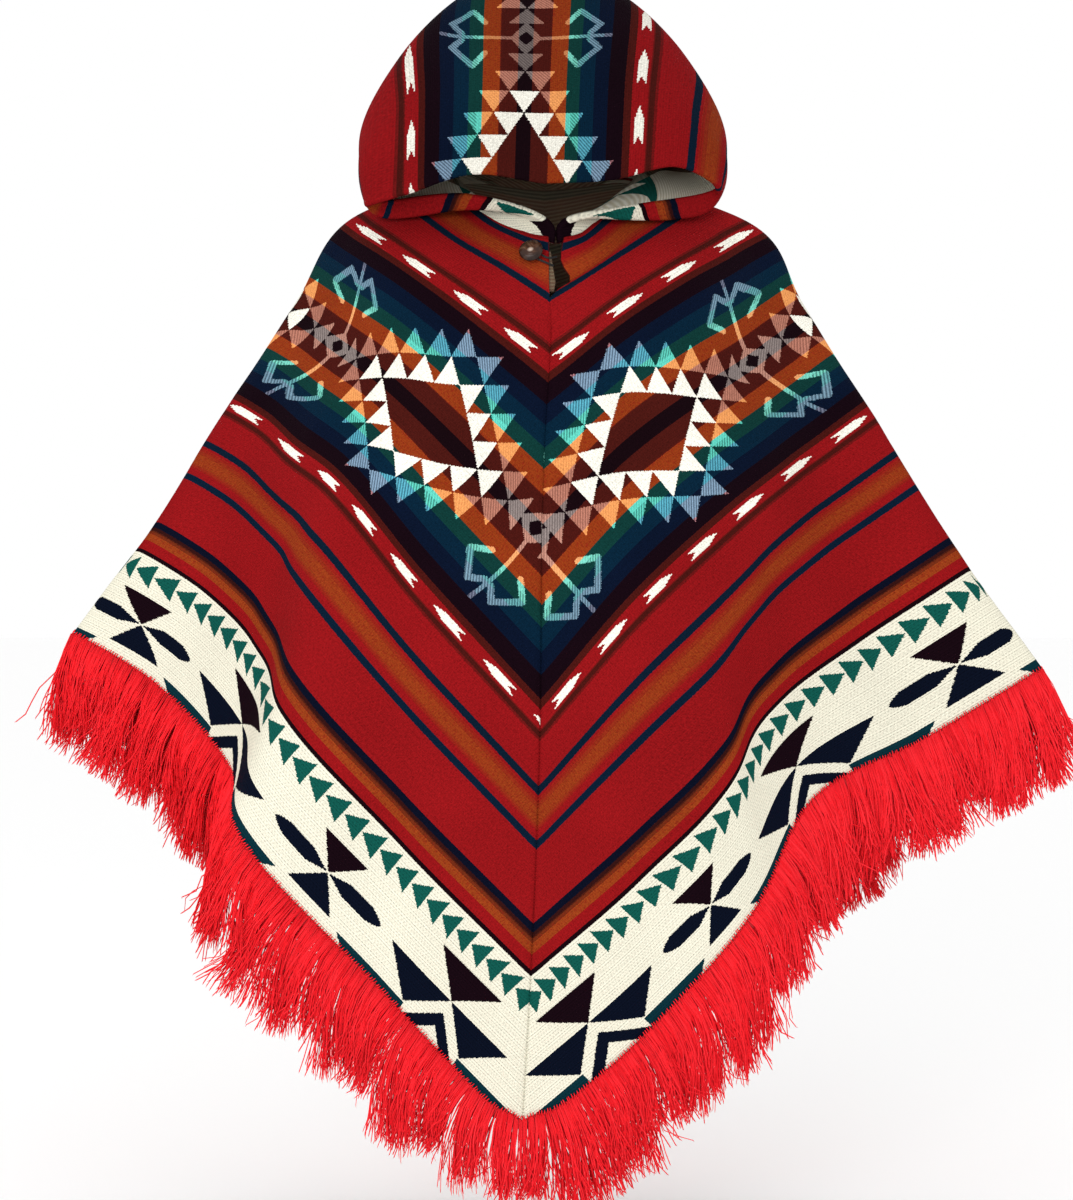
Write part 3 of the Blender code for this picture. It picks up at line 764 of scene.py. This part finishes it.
# Each fold's points in mm: the front edge, the face, the crown, behind it and the back seam.
HOOD_FOLDS = {
    "top": ((0, -108, -16), (0, -116, 72), (0, -72, 165), (0, -20, 179), (0, 32, 172)),
    "brow": ((-58, -102, -14), (-60, -108, 66), (-66, -60, 151), (-46, -4, 170), (0, 64, 158)),
    "temple": ((-116, -84, -15), (-120, -84, 50), (-124, -40, 107), (-82, 26, 128),
        (0, 92, 128)),
    "cheek": ((-155, -58, -22), (-161, -44, 14), (-154, -10, 46), (-94, 54, 78),
        (0, 106, 92)),
    "jaw": ((-140, -44, -34), (-150, -24, -12), (-134, 12, 18), (-76, 64, 46), (0, 104, 60)),
    "throat": ((-66, -60, -36), (-94, -32, -14), (-102, 6, 16), (-62, 56, 32), (0, 88, 42)),
}
HOOD_FACES = (3, 4, 4, 4, 3, 3, 2)  # coarse faces between the folds, from the top to the neck
# How far the front edge is lifted at each fold, in mm, on the left and on the right: the cloth
# is slack there, and the mouth gapes more on the right.
MOUTH_LIFTS = {-1: (0, 7, -5, -5, 9, 14), 1: (0, 2, 18, 9, 15, 2)}
CHIN_SAG = 15 * MM
CHIN_FACES = (11.5, 9.5)  # where the roll under the chin starts on the coarse faces, and its span
CHIN_ROLL = 0.075  # where the roll hangs lowest, as a share of the way to the back seam
HEM_FOLD = 1.9 * MM
HEM_WIDTH = 12 * MM
HEM_STEPS = 6
# The flat cloth along each fold: mm from the front edge back, then from the middle stripe, which
# lies a little to the left of the top of the head.
HOOD_TOP = ((2, 20), (108, 17), (240, 13), (310, 8), (366, 4))
HOOD_WEAVE = {
    -1: {
        "top": HOOD_TOP,
        "brow": ((9, -45), (97, -50), (208, -58), (290, -52), (366, -42)),
        "temple": ((0, -109), (79, -114), (119, -116), (194, -106), (290, -90)),
        "cheek": ((0, -142), (60, -147), (110, -150), (180, -146), (290, -130)),
        "jaw": ((0, -176), (48, -184), (100, -188), (190, -180), (320, -162)),
        "throat": ((0, -250), (44, -244), (102, -232), (200, -214), (366, -194)),
        "collar": ((0, -312), (70, -292), (150, -272), (240, -254), (366, -234)),
        "neck": ((0, -326), (70, -306), (150, -286), (240, -268), (366, -248)),
    },
    1: {
        "top": HOOD_TOP,
        "brow": ((7, 86), (95, 85), (205, 84), (290, 72), (366, 50)),
        "temple": ((2, 139), (67, 139), (127, 138), (196, 124), (290, 100)),
        "cheek": ((0, 184), (60, 186), (110, 180), (180, 166), (290, 140)),
        "jaw": ((0, 207), (48, 212), (100, 206), (190, 190), (320, 170)),
        "throat": ((0, 284), (44, 272), (102, 252), (200, 228), (366, 202)),
        "collar": ((0, 308), (70, 290), (150, 272), (240, 254), (366, 238)),
        "neck": ((0, 320), (70, 302), (150, 284), (240, 266), (366, 250)),
    },
}


def hood_side(half, side):
    """One side of the hood, down to the neckline of the half below it: side is -1 or 1."""
    points = np.array(list(HOOD_FOLDS.values()), float)
    points[:, 0, 2] += MOUTH_LIFTS[side]
    points = points * MM * np.array([-side, 1, 1]) + np.array([HOOD_CENTRE, 0, 0])
    points[:, -1, 0] = 0
    down, normal = (way[:, 0] for way in directions(half))
    neckline = half[:, 0, :3] + down * NECK_SEAM + side * normal * 1.1 * CLOTH
    share = run_along(neckline) / run_along(neckline)[-1]
    corners = read_at(np.linspace(0, 1, points.shape[1]), share, neckline)
    collar = corners + np.array([0, 0, COLLAR_RISE])
    for seam_row in (corners, collar):
        seam_row[-1, 0] = 0
    points = np.concatenate([points, collar[None], corners[None]])
    flat = np.array(list(HOOD_WEAVE[side].values()), float) * MM
    flat[..., 1] += BAND * MM
    points = np.concatenate([points, flat], axis=2)
    panels = range(points.shape[1])
    grid, place = loft(points, HOOD_FACES, panels, HOOD_COLUMNS, HOOD_ROWS)
    rows = np.linspace(0, 1, HOOD_ROWS + 1)
    grid[-1, :, :3] = read_at(rows, share, neckline)
    grid[:, -1, 0] = 0
    # Under the chin the slack cloth hangs in a soft roll below its front edge.
    starts, length = CHIN_FACES
    chin = np.sin(np.pi * np.clip((place - starts) / length, 0, 1)) ** 2
    behind = rows / CHIN_ROLL
    grid[..., 2] -= CHIN_SAG * chin[:, None] * (behind * np.exp(1 - behind)) ** 2
    return grid


left_side = hood_side(left_grid, -1)
right_side = hood_side(right_grid, 1)
right_side[:, -1, :3] = left_side[:, -1, :3]


def hemmed(grid):
    """The grid with its first edge turned in: a half round, then a short way back on the inside."""
    down, normal = (way[:, 0] for way in directions(grid))
    out = grid[:, 0, :3] - grid[..., :3].mean(axis=(0, 1))
    inward = -normal * np.sign((normal * out).sum())
    half_round = math.pi * HEM_FOLD
    bends = [half_round * k / HEM_STEPS for k in range(HEM_STEPS, 0, -1)]
    turned = []
    for far in (HEM_WIDTH, 0.75 * HEM_WIDTH, *bends):
        bend = min(far / HEM_FOLD, math.pi)
        back = max(0, far - half_round) - HEM_FOLD * math.sin(bend)
        row = grid[:, 0].copy()
        row[:, :3] += down * back + inward * HEM_FOLD * (1 - math.cos(bend))
        row[:, 3] -= far
        turned.append(row)
    return np.concatenate([np.stack(turned, axis=1), grid], axis=1)


hood_grid = hemmed(np.concatenate([left_side[::-1], right_side[1:]]))
# The hood is the same cloth as the halves; its lower factor darkens it as painted shade.
hood_look = blanket_face(
    "Blanket cloth, hood", Diamonds_from=0, Upper_arrows_from=-31, Lower_arrows_from=-29,
    Teeth_from=-2, Leaves_from=0, Arrows_turn_at=2000, Depth=0.84, Figure_strength=0.6)
# More than 90 mm back from its front edge, the hood's pale reverse is painted drab, as painted
# shade inside it.
hood_reverse = blanket_reverse("Blanket cloth, hood, reverse", -12, 2.3, 90)
hood_cloth = cloth_shell("hood_cloth", hood_grid, True, (hood_look, hood_reverse, cut_edge))
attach(hood_cloth, "root")
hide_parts("hood")

# ---------------------------------------------------------------- the fringe
# Red wool yarn held by a narrow woven heading that is sewn all round the hem. The yarns leave it
# square to the edge, hang over, and gather in loose locks of uneven length.

HEADING = 9 * MM  # how wide it is
YARNS_PER_MM = 5.9  # along the hem, on both sides of it
YARN_RADIUS = 0.58 * MM
YARN_STOPS = np.array([0, 0.2, 0.42, 0.6, 0.74, 0.87, 0.98, 1])  # joints, as shares of a yarn
LOCK_SPACING = 13 * MM
LOCK_LEAN = 9 * MM  # the most that a yarn leans to the middle of its lock
FRINGE_LENGTH = 88 * MM
TIP_SHORT = 0.16  # how much shorter the fringe is at the points, and over what reach
SHORT_REACH = 70 * MM
STRAY_SHARE = 0.08  # of the yarns
MOST_SWING = 0.75  # how far a yarn turns aside at its end, for each step down
DROOP = 0.8  # how much of that step is straight down there
FALL_EVENING = 110  # how many times the yarns' directions are evened round the hem


def hem_ring(left, right):
    """The hem all round, as points with the directions out of the cloth and down its surface."""
    line = np.concatenate([left[:, -1, :3], right[-2:0:-1, -1, :3]])
    out = np.concatenate([directions(left)[1][:, -1], -directions(right)[1][-2:0:-1, -1]])
    for seam, other in ((0, right[0, -1, :3]), (len(left) - 1, right[-1, -1, :3])):
        line[seam] = (line[seam] + other) / 2
    return line, out, unit(np.cross(out, np.roll(line, -1, axis=0) - np.roll(line, 1, axis=0)))


def evened(ways, times):
    """Directions round the ring, each one the mean of itself and its neighbours."""
    for _ in range(times):
        ways = (np.roll(ways, 1, axis=0) + 2 * ways + np.roll(ways, -1, axis=0)) / 4
    return unit(ways)


def mesh_piece(name, points, faces, flats, look):
    """A joined mesh, with each corner's place on its yarn in the Cloth map."""
    mesh = bpy.data.meshes.new(name)
    mesh.from_pydata(points, [], faces)
    layer = mesh.uv_layers.new(name="Cloth")
    corners = np.empty(len(mesh.loops), dtype=np.int32)
    mesh.loops.foreach_get("vertex_index", corners)
    layer.data.foreach_set("uv", np.asarray(flats, dtype=np.float32)[corners].ravel())
    mesh.materials.append(look)
    mesh.shade_smooth()
    piece = placed(name, mesh)
    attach(piece, "root")
    return piece


def yarn_look():
    """Loosely twisted red wool: each yarn has its own depth of red, darker in its twist."""
    made, tree, principled = new_material("Red wool yarn", 0.75, 0.08)
    own, far, _ = parted(tree, cloth_coordinates(tree))
    twist = (far * 1000 * (math.tau / 2.6) + own * 40).worked("SINE") * 0.5 + 0.5
    red = mixed(tree, own, (0.86, 0.012, 0.02), (1.0, 0.03, 0.042))
    coloured(principled, mixed(tree, twist * 0.16, red, (0.62, 0.006, 0.012)))
    return made


def tubes(joints, side, out, radius, taper):
    """Thin three-sided tubes, closed at the start and drawn to a point at the end."""
    count, length = joints.shape[:2]
    angles = (math.tau * np.arange(3) / 3)[:, None]
    ring = side[:, None] * np.cos(angles) + out[:, None] * np.sin(angles)
    thick = (radius[:, None] * taper)[:, :, None, None]
    body = joints[:, :-1, None, :] + ring[:, None] * thick
    points = np.concatenate([body.reshape(count, -1, 3), joints[:, -1:]], axis=1)
    faces = [(0, 2, 1)]
    for k in range(length - 2):
        for turn in range(3):
            a, b = 3 * k + turn, 3 * k + (turn + 1) % 3
            faces.append((a, b, b + 3, a + 3))
    last = 3 * (length - 2)
    faces += [(last + turn, last + (turn + 1) % 3, last + 3) for turn in range(3)]
    starts = range(0, count * (last + 4), last + 4)
    return points.reshape(-1, 3), [tuple(s + c for c in face) for s in starts for face in faces]


def fringe_yarns(line, out, down, span, seed):
    """Yarns for a stretch of the ring: points, faces and their places."""
    rng = np.random.default_rng(seed)
    first, last = span
    part = np.arange(first, last + 1) % len(line)
    path = line[part]
    far = run_along(path)
    count = int(far[-1] / MM * YARNS_PER_MM)
    at = np.sort(rng.uniform(0, far[-1], count))

    # Locks: uneven stretches of the hem whose yarns lean together.
    edges = rng.uniform(0.35, 1.65, int(far[-1] / LOCK_SPACING) + 12)
    edges = np.cumsum(edges) * LOCK_SPACING
    lock = np.searchsorted(edges, at)
    locks = len(edges) + 1
    middle = np.interp(lock, np.arange(len(edges)), edges) - LOCK_SPACING / 2
    middle = np.clip(middle, 0, far[-1])
    lean = np.clip(middle - at, -LOCK_LEAN, LOCK_LEAN) * rng.uniform(0.0, 0.62, count)
    lock_length = rng.uniform(0.72, 1.12, locks)[lock]
    lock_turn = rng.normal(0, 0.17, locks)[lock]
    lock_lift = np.clip(rng.normal(0, 4.0, locks), -7, 6)[lock] * MM
    to_tip = at if first % HALF_COLUMNS == 0 else far[-1] - at
    length = FRINGE_LENGTH * (1 - TIP_SHORT * np.exp(-((to_tip / SHORT_REACH) ** 2)))
    length = length * np.clip(lock_length * rng.normal(1, 0.09, count), 0.45, 1.16)
    stray = rng.random(count) < STRAY_SHARE
    ends = np.roll(path, -1, axis=0) - path
    ends[-1] = ends[-2]
    root, normal, slope, fall, run = (read_at(at, far, values) for values in (
        path, out[part], down[part], evened(down, FALL_EVENING)[part], unit(ends)))
    side = unit(np.cross(slope, normal))
    depth = rng.uniform(0.6, 2.4, count) * np.where(rng.random(count) < 0.62, 1, -1) * MM
    root = root + slope * rng.uniform(0.4, 3.0, count)[:, None] * MM + normal * depth[:, None]
    wave_phase = rng.uniform(0, math.tau, (count, 2))
    wave_size = rng.uniform(0.6, 3.8, count) * MM * np.where(stray, 1.8, 1)
    wave_turn = rng.uniform(7, 17, count)
    swing = rng.normal(0, 0.16, count) + lock_turn
    swing = swing + np.where(stray, rng.normal(0, 0.5, count), 0)
    swing = np.clip(swing, -MOST_SWING, MOST_SWING)
    place = root
    joints = [place]
    for s, before in zip(YARN_STOPS[1:], YARN_STOPS):
        droop = DROOP * min(1, s * 1.35)
        aim = fall * (1 - droop) + np.array([0, 0, -1]) * droop + run * (swing * s)[:, None]
        place = place + unit(aim) * (length * (s - before))[:, None]
        waver = np.sin(wave_phase[:, 0] + s * wave_turn) * wave_size * s ** 1.5
        swell = (np.cos(wave_phase[:, 1] + s * 7) * wave_size * 0.9 + lock_lift + depth * 2) * s
        aside = lean * s ** 1.8 + waver
        joints.append(place + run * aside[:, None] + normal * swell[:, None])
    joints = np.stack(joints, axis=1)
    radius = YARN_RADIUS * rng.uniform(0.8, 1.25, count)
    taper = np.ones(len(YARN_STOPS) - 1)
    taper[-1] = 0.85
    points, faces = tubes(joints, side, normal, radius, taper)
    flats = np.empty((count, 3 * len(taper) + 1, 2))
    flats[:, :, 0] = rng.random(count)[:, None]
    flats[:, :, 1] = np.append(np.repeat(YARN_STOPS[:-1], 3), 1) * length[:, None]
    return points, faces, flats.reshape(-1, 2)


line, out, down = hem_ring(left_grid, right_grid)
yarn = yarn_look()
QUARTER = HALF_COLUMNS // 2
SPANS = {
    "front_left_yarns": (0, QUARTER),
    "back_left_yarns": (QUARTER, HALF_COLUMNS),
    "back_right_yarns": (HALF_COLUMNS, len(line) - QUARTER),
    "front_right_yarns": (len(line) - QUARTER, len(line)),
}
for seed, (name, span) in enumerate(SPANS.items(), 11):
    points, faces, flats = fringe_yarns(line, out, down, span, seed)
    mesh_piece(name, points, faces, flats, yarn)

# The heading: a narrow band with a fine rib across it.
heading_look, tree, principled = new_material("Red woven heading", 0.85, 0.5)
rib = (parted(tree, cloth_coordinates(tree))[0] * 1000).wave(1.6) * 0.5 + 0.5
coloured(principled, mixed(tree, rib, dyed(150, 10, 18), dyed(226, 26, 36)))
bumped(principled, rib, 0.8, 0.6 * MM)
far = run_along(line)
# Its section, in mm: how far below the hem each corner lies, and how far it stands out.
SECTION = ((0.3, 0.8), (3, 1.0), (6, 1.0), (HEADING / MM, 0.6))
SECTION += tuple((low, -proud) for low, proud in SECTION[::-1])
points, faces, flats = [], [], []
for k in range(len(line)):
    for low, proud in SECTION:
        points.append(line[k] + down[k] * low * MM + out[k] * proud * MM)
        flats.append((far[k], low * MM))
    start, beyond = (place * len(SECTION) for place in (k, (k + 1) % len(line)))
    for j in range(len(SECTION)):
        i = (j + 1) % len(SECTION)
        faces.append((start + j, start + i, beyond + i, beyond + j))
heading = mesh_piece("fringe_heading", points, faces, flats, heading_look)
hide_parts("fringe")

# The heading is oversewn to the hem in the same yarn: each stitch bites up into the cloth.
STITCH = 2.6 * MM
ring = np.concatenate([line, line[:1]])
far = run_along(ring)
at = np.arange(0, far[-1], STITCH)
rng = np.random.default_rng(5)
at = at + rng.uniform(-0.25, 0.25, len(at)) * STITCH
place, outward, downward = (
    read_at(at, far, np.concatenate([values, values[:1]])) for values in (line, out, down))
beside = np.cross(outward, downward)
bite = rng.uniform(1.2, 2.6, len(at))[:, None] * MM
joints = np.stack([
    place + downward * 1.8 * MM + outward * 1.3 * MM - beside * 0.9 * MM,
    place + outward * 1.9 * MM - beside * 0.4 * MM,
    place - downward * bite + outward * 1.5 * MM,
    place - downward * bite * 1.15 + outward * 0.7 * MM], axis=1)
radius = np.full(len(at), 0.6 * MM)
points, faces = tubes(joints, beside, outward, radius, np.array([1, 1.1, 0.8]))
flats = np.zeros((len(points), 2))
flats[:, 0] = np.repeat(rng.random(len(at)), len(points) // len(at))
mesh_piece("hem_stitches", points, faces, flats, yarn)

# The halves are joined edge to edge by short ladder stitches of dark thread. They lie on the
# inside of the front seam, and on the outside of the back one: both on the side to the back.
LADDER_STEP = 4.5  # mm along the seam
LADDER = ((-1.7, 0.6), (-0.8, 1.5), (0.8, 1.5), (1.7, 0.6))  # mm beside the seam, and above it
THREAD_RADIUS = 0.32 * MM
thread_look, _, _ = new_material("Dark sewing thread", 0.8, 0.5, dyed(38, 14, 20))
backward = directions(left_grid)[1][-1]
joints, sides, outs = [], [], []
for end, first in ((0, SLIT_LENGTH + 5), (-1, 6)):
    middle = (left_grid[end, :, :3] + right_grid[end, :, :3]) / 2
    at = np.arange(first, LEVELS[-1] - 4, LADDER_STEP)
    place = read_at(at, ROW_LEVELS, middle)
    normal = unit(read_at(at, ROW_LEVELS, backward))
    beside = unit(np.cross(normal, np.gradient(place, axis=0)))
    joints.append(np.stack([
        place + beside * aside * MM + normal * high * MM for aside, high in LADDER], axis=1))
    sides.append(np.cross(normal, beside))
    outs.append(normal)
joints, sides, outs = (np.concatenate(part) for part in (joints, sides, outs))
points, faces = tubes(joints, sides, outs, np.full(len(joints), THREAD_RADIUS), np.ones(3))
flats = np.zeros((len(points), 2))
mesh_piece("seam_stitches", points, faces, flats, thread_look)

# ---------------------------------------------------------------- the button and its loop
# A turned horn button, polished, sewn on a thread shank at the left edge of the slit, with a
# painted highlight in the middle of its colour and painted shade towards its rim. A black elastic
# loop sewn to the right edge goes round its shank.

horn, tree, principled = new_material("Brown horn", 0.24, 0.25)
spot = tree.nodes.new("ShaderNodeTexCoord")
cloud = noise(tree, spot.outputs["Object"], 90, 4, "3D", 1.4)
marbling = banded(
    tree, cloud, ((0, 34, 18, 12), (0.44, 66, 40, 28), (0.58, 98, 66, 48), (0.74, 150, 118, 96)),
    1, "LINEAR")
middle = vector_node(tree, "SUBTRACT", spot.outputs["Generated"], (0.5, 0.5, 0.5))
rim = vector_node(tree, "LENGTH", middle) * 2
# Painted shade: the face darkens towards its rim. Painted highlight: a light spot in its middle.
turned = mixed(tree, (rim - 0.45).held(), marbling, dyed(22, 11, 8))
painted_highlight = ((0.34 - rim) * 3.4).held()
coloured(principled, mixed(tree, painted_highlight, turned, dyed(236, 214, 196)))
bumped(principled, 1 - rim * rim, 1.0, 3 * MM)
elastic, tree, principled = new_material("Black elastic", 0.8, 0.5)
spot = tree.nodes.new("ShaderNodeTexCoord")
braid = tree.nodes.new("ShaderNodeTexWave")
braid.inputs["Scale"].default_value = 900
tree.links.new(spot.outputs["Object"], braid.inputs["Vector"])
braid = braid.outputs["Fac"]
coloured(principled, mixed(tree, braid, dyed(8, 8, 9), dyed(34, 33, 35)))
bumped(principled, braid, 0.4, 0.2 * MM)
for node, look in (("button", horn), ("elastic_loop", elastic)):
    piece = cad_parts[node]
    for slot in piece.material_slots:
        slot.material = look

# ---------------------------------------------------------------- floor, light and camera
# A plain pale floor just below the fringe, a pale room, one broad soft light from the front and
# a small one for the button's shine.

FLOOR_LEVEL = -0.945
floor_look, _, _ = new_material("Pale floor", 0.9, 0.5, (0.985, 0.985, 0.985))
bpy.ops.mesh.primitive_plane_add(size=60, location=(0, 0, FLOOR_LEVEL))
floor = bpy.context.object
floor.name = "floor"
floor.data.materials.append(floor_look)

world = bpy.data.worlds.new("Pale room")
bpy.context.scene.world = world
world.use_nodes = True
background = world.node_tree.nodes["Background"]
background.inputs["Color"].default_value = (1.0, 1.0, 1.0, 1)
background.inputs["Strength"].default_value = 1.0


def soft_light(name, place, aim, size, power):
    light = bpy.data.lights.new(name, "AREA")
    light.shape = "DISK"
    light.size = size
    light.energy = power
    lamp = placed(name, light)
    lamp.location = place
    lamp.rotation_euler = (Vector(aim) - Vector(place)).to_track_quat("-Z", "Y").to_euler()


soft_light("Key", (-0.8, -2.8, 0.15), (0, 0, -0.4), 1.4, 30)
soft_light("Catchlight", (0, -1.85, -0.25), (-0.01, -0.1, -0.05), 0.05, 0.35)

# The camera looks level from in front, and its view is 1.08 m high at the shoulders' depth.
EYE = (-0.00765, -1.9, -0.3726)
HALF_VIEW = 0.54
view = bpy.data.cameras.new("Camera")
view.sensor_fit = "VERTICAL"
view.angle = 2 * math.atan(HALF_VIEW / -EYE[1])
camera = placed("Camera", view)
camera.location = EYE
camera.rotation_euler = (math.pi / 2, 0, 0)
bpy.context.scene.camera = camera
bpy.context.scene.view_settings.view_transform = "Standard"
